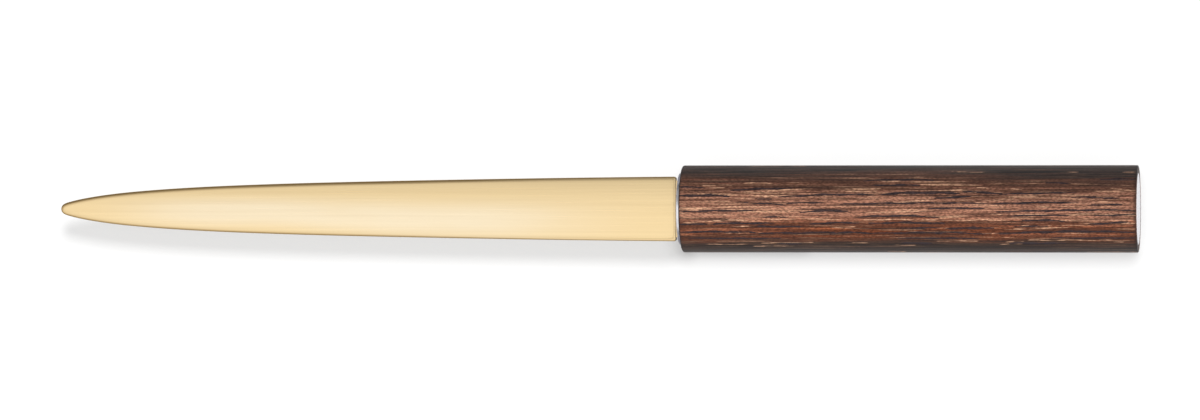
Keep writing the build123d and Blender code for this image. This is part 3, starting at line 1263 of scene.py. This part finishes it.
    def marks(self, tone: Tone) -> list[GrainMark]:
        """Lists the marks seen on top, and makes up those on the sides and underneath.

        Args:
            tone: dark streaks or pale flecks.

        Returns:
            The marks.
        """
        dark = tone is Tone.DARK
        listed = []
        for start, end, across_start, across_end, bow, width in STREAKS if dark else FLECKS:
            turns = [math.degrees(math.asin(value / self.radius)) for value in (across_start, across_end)]
            slant = math.cos(math.radians(sum(turns) / 2.0)) if dark else 1.0
            listed.append(GrainMark(start, end, *turns, bow, width / slant))
        draw = np.random.default_rng(self.seed if dark else self.seed + 1)
        length = self.rear_x - self.front_x
        longest = self.streak_longest if dark else self.fleck_longest
        widths = self.streak_widths if dark else self.fleck_widths
        for _ in range(self.unseen_marks):
            span = draw.uniform(*self.made_share) * longest
            start = draw.uniform(-self.made_before * span, length - self.made_after * span)
            turn = draw.uniform(self.seen_half_turn, 360.0 - self.seen_half_turn)
            drift = draw.uniform(-self.made_drift, self.made_drift)
            width = draw.uniform(*widths)
            bow = draw.uniform(*self.made_bow)
            listed.append(GrainMark(start, start + span, turn, turn + drift, bow, width))
        return listed

    def strength(self, marks: list[GrainMark], along: Array, around: Array) -> Array:
        """Says how strongly marks show at each place.

        Args:
            marks: the marks.
            along: places from the sleeve's front.
            around: turns from the top.

        Returns:
            Strengths, 0 to 1.
        """
        total = np.zeros(len(along))
        per_degree = math.radians(1.0) * self.radius
        for number, mark in enumerate(marks):
            share = (along - mark.start) / (mark.end - mark.start)
            inside = (share > 0.0) & (share < 1.0)
            where = share[inside]
            middle = mark.turn_start + (mark.turn_end - mark.turn_start) * where
            here = along[inside]
            lens = 4.0 * where * (1.0 - where)
            wave = self.mark_wander * np.sin(self.wander_rate * here + number) + mark.bow * lens
            gap = (around[inside] - middle + 180.0) % 360.0 - 180.0
            offset = gap * per_degree - wave
            beat = np.sin(self.swell_rate * here + self.swell_step * number)
            swell = 1.0 - self.mark_swell + self.mark_swell * beat
            half = mark.width / 2.0 * swell * lens**self.mark_bluntness + TINY
            edge = (offset / (self.mark_spread * half)) ** 2
            value = np.clip(self.mark_firmness * (1.0 - edge), 0.0, 1.0)
            total[inside] = np.maximum(total[inside], value)
        return total

    def end_grain_and_gap_shade(self, along: Array, outside: Array) -> Array:
        """Says how much of the dark end grain and of the painted shade along the rims shows at each place.

        Args:
            along: places from the sleeve's front.
            outside: 1 for those on the sleeve's outside.

        Returns:
            Strengths, most at the front and along the rear rim.
        """
        behind = self.rear_x - self.front_x - along
        front = self.front_grain_and_shade * (1.0 - smooth_step(along, *self.end_shade_reach))
        rear = self.rear_rim_shade * outside * (1.0 - smooth_step(behind, *self.end_shade_reach))
        return np.maximum(front, rear)

    def warmth(self, along: Array, around: Array) -> Array:
        """Says how much of the near side's warm patch shows, 0 to 1, at places along and around it."""
        reach = smooth_step(along, *self.warm_rise) * (1.0 - smooth_step(along, *self.warm_fall))
        return reach * np.exp(-(((around - self.warm_turn) / self.warm_half_turn) ** 2))

    def wavering(self, bands: tuple[Pair, ...], along: Array, around: Array) -> Array:
        """Gives the value of bands round the sleeve at each place, wavering along it.

        Args:
            bands: turns with their values.
            along: places from the sleeve's front.
            around: turns from the top.

        Returns:
            The values.
        """
        waver = sum(size * np.sin(along / length + start) for size, length, start in self.wavers)
        far = smooth_step(around, *self.drift_rise) * (1.0 - smooth_step(around, *self.drift_fall))
        waver = waver + self.rear_drift * far * smooth_step(along, *self.drift_along)
        turns, values = np.array(bands).T
        at = (around + waver + 180.0) % 360.0 - 180.0
        return np.interp(at, turns, values)


@dataclass
class EndFittings:
    """The turned ferrule and rear plug, whose CAD shapes stay."""

    ferrule: TurnedAluminium = TurnedAluminium("side_shaded_aluminium", 3.0 * MM, 6.0 * MM)
    plug: TurnedAluminium = TurnedAluminium("turned_aluminium", 5.5 * MM, 9.0 * MM)

    def build(self) -> list[Piece]:
        """Dresses both fittings."""
        return [dress("front_ferrule", self.ferrule.material()), dress("rear_plug", self.plug.material())]


@dataclass
class InnerPieces:
    """The liner tube and the spring pins inside the handle, whose CAD shapes stay."""

    tube: DrawnMetal = DrawnMetal(
        "tube_brass", (0.72, 0.52, 0.24), (0.46, 0.31, 0.13), (0.3, 0.7, 0.28, 0.45)
    )
    pins: DrawnMetal = DrawnMetal(
        "pin_steel", (0.42, 0.42, 0.44), (0.22, 0.21, 0.21), (0.3, 0.7, 0.35, 0.55)
    )

    def build(self) -> list[Piece]:
        """Dresses the tube and the pins."""
        return [dress("liner_tube", self.tube.material()), dress("tang_pins", self.pins.material())]


@dataclass(frozen=True)
class TableLamp:
    """A far lamp that lights only the table and throws the shadow of chosen pieces. Angles in degrees."""

    name: str
    elevation: float
    lean: float
    spread: float
    share: float

    def hang(self, table: Piece, whiteness: float, blockers: list[Piece]) -> None:
        """Hangs the lamp on the far side, leaning to the handle's end.

        Args:
            table: the table.
            whiteness: share of light that the table throws back.
            blockers: pieces that throw the lamp's shadow.
        """
        elevation = math.radians(self.elevation)
        data = bpy.data.lights.new(self.name, "SUN")
        data.angle = math.radians(self.spread)
        data.energy = self.share * math.pi / (whiteness * math.sin(elevation))
        lamp = bpy.data.objects.new(self.name, data)
        lamp.rotation_euler = (elevation - math.pi / 2.0, math.radians(self.lean), 0.0)
        bpy.context.scene.collection.objects.link(lamp)
        lit = bpy.data.collections.new(self.name + "_lit")
        lit.objects.link(table)
        lamp.light_linking.receiver_collection = lit
        shading = bpy.data.collections.new(self.name + "_shading")
        for piece in blockers:
            shading.objects.link(piece)
        lamp.light_linking.blocker_collection = shading


@dataclass
class Studio:
    """The white table, the soft light above it and the camera."""

    focal_length: float = 240.0
    sensor: float = 36.0
    distance: float = 1474.7 * MM
    tilt: float = math.radians(7.0)
    aim: Triple = (0.80 * MM, -0.20 * MM, 8.0 * MM)
    floor_side: float = 12.0
    floor_white: float = 0.2
    floor_glow: float = 0.28
    # The tent's light across and upwards
    side_light: Range = (0.15, 0.36, 1.46, 0.55)
    lift_light: Range = (0.05, 0.6, 0.2, 1.0)
    blade_lamp: TableLamp = TableLamp("blade_lamp", 63.5, 10.0, 18.0, 0.30)
    handle_lamp: TableLamp = TableLamp("handle_lamp", 78.3, 5.0, 24.0, 0.33)

    def build(self, blade: Piece, handle: list[Piece]) -> None:
        """Sets up the camera, the table, the tent and the lamps.

        Args:
            blade: the blade.
            handle: the handle's outer pieces.
        """
        self.camera()
        table = self.floor()
        self.tent()
        self.blade_lamp.hang(table, self.floor_white, [blade])
        self.handle_lamp.hang(table, self.floor_white, handle)
        bpy.context.scene.view_settings.view_transform = "Standard"

    def camera(self) -> None:
        """Looks down on the opener, a little from the handle's end."""
        data = bpy.data.cameras.new("camera")
        data.lens = self.focal_length
        data.sensor_width = self.sensor
        data.sensor_fit = "HORIZONTAL"
        camera = bpy.data.objects.new("camera", data)
        camera.rotation_euler = (0.0, self.tilt, 0.0)
        away = Vector((math.sin(self.tilt), 0.0, math.cos(self.tilt)))
        camera.location = Vector(self.aim) + self.distance * away
        bpy.context.scene.collection.objects.link(camera)
        bpy.context.scene.camera = camera

    def floor(self) -> Piece:
        """Lays a white table that keeps the opener's shadow.

        Returns:
            The table.
        """
        half = self.floor_side / 2.0
        corners = [(-half, -half, 0.0), (half, -half, 0.0), (half, half, 0.0), (-half, half, 0.0)]
        mesh = bpy.data.meshes.new("table")
        mesh.from_pydata(corners, [], [(0, 1, 2, 3)])
        graph = ShaderGraph("white_table")
        graph.tree.nodes.remove(graph.shader)
        rays = graph.node("LightPath").outputs
        seen = graph.math(Sum.MAXIMUM, rays["Is Camera Ray"], rays["Is Glossy Ray"])
        seen = graph.math(Sum.MAXIMUM, seen, rays["Is Transmission Ray"])
        glow = graph.math(Sum.MULTIPLY, seen, self.floor_glow)
        light = graph.node("Emission", {"Color": (1.0, 1.0, 1.0), "Strength": glow})
        matt = graph.node("BsdfDiffuse", {"Color": (self.floor_white,) * 3})
        both = graph.node("AddShader", {0: light.outputs[0], 1: matt.outputs[0]})
        graph.feed(graph.output.inputs["Surface"], both.outputs[0])
        mesh.materials.append(graph.material)
        table = bpy.data.objects.new("table", mesh)
        bpy.context.scene.collection.objects.link(table)
        return table

    def tent(self) -> None:
        """Hangs a soft tent of light, brighter overhead and on the near side."""
        world = bpy.data.worlds.new("tent")
        bpy.context.scene.world = world
        world.use_nodes = True
        tree = world.node_tree
        tree.nodes.clear()
        output = tree.nodes.new("ShaderNodeOutputWorld")
        background = tree.nodes.new("ShaderNodeBackground")
        place = tree.nodes.new("ShaderNodeTexCoord")
        split = tree.nodes.new("ShaderNodeSeparateXYZ")
        side = tree.nodes.new("ShaderNodeMapRange")
        lift = tree.nodes.new("ShaderNodeMapRange")
        both = tree.nodes.new("ShaderNodeMath")
        both.operation = "MULTIPLY"
        tree.links.new(place.outputs["Generated"], split.inputs["Vector"])
        for node, axis, limits in ((side, "Y", self.side_light), (lift, "Z", self.lift_light)):
            node.interpolation_type = "SMOOTHSTEP"
            tree.links.new(split.outputs[axis], node.inputs["Value"])
            for name, value in zip(("From Min", "From Max", "To Min", "To Max"), limits):
                node.inputs[name].default_value = value
        tree.links.new(side.outputs["Result"], both.inputs[0])
        tree.links.new(lift.outputs["Result"], both.inputs[1])
        tree.links.new(both.outputs["Value"], background.inputs["Strength"])
        tree.links.new(background.outputs["Background"], output.inputs["Surface"])


def main() -> None:
    """Builds the opener and its studio."""
    logging.basicConfig(level=logging.INFO, format="%(name)s: %(message)s")
    blade = Blade().build()
    sleeve = WoodSleeve().build()
    fittings = EndFittings().build()
    inner = InnerPieces().build()
    Studio().build(blade, [sleeve, *fittings])
    for piece in (blade, sleeve, *fittings, *inner):
        LOG.info("%s: %d faces in %s", piece.name, len(piece.data.polygons), piece.active_material.name)


if __name__ == "__main__":
    main()
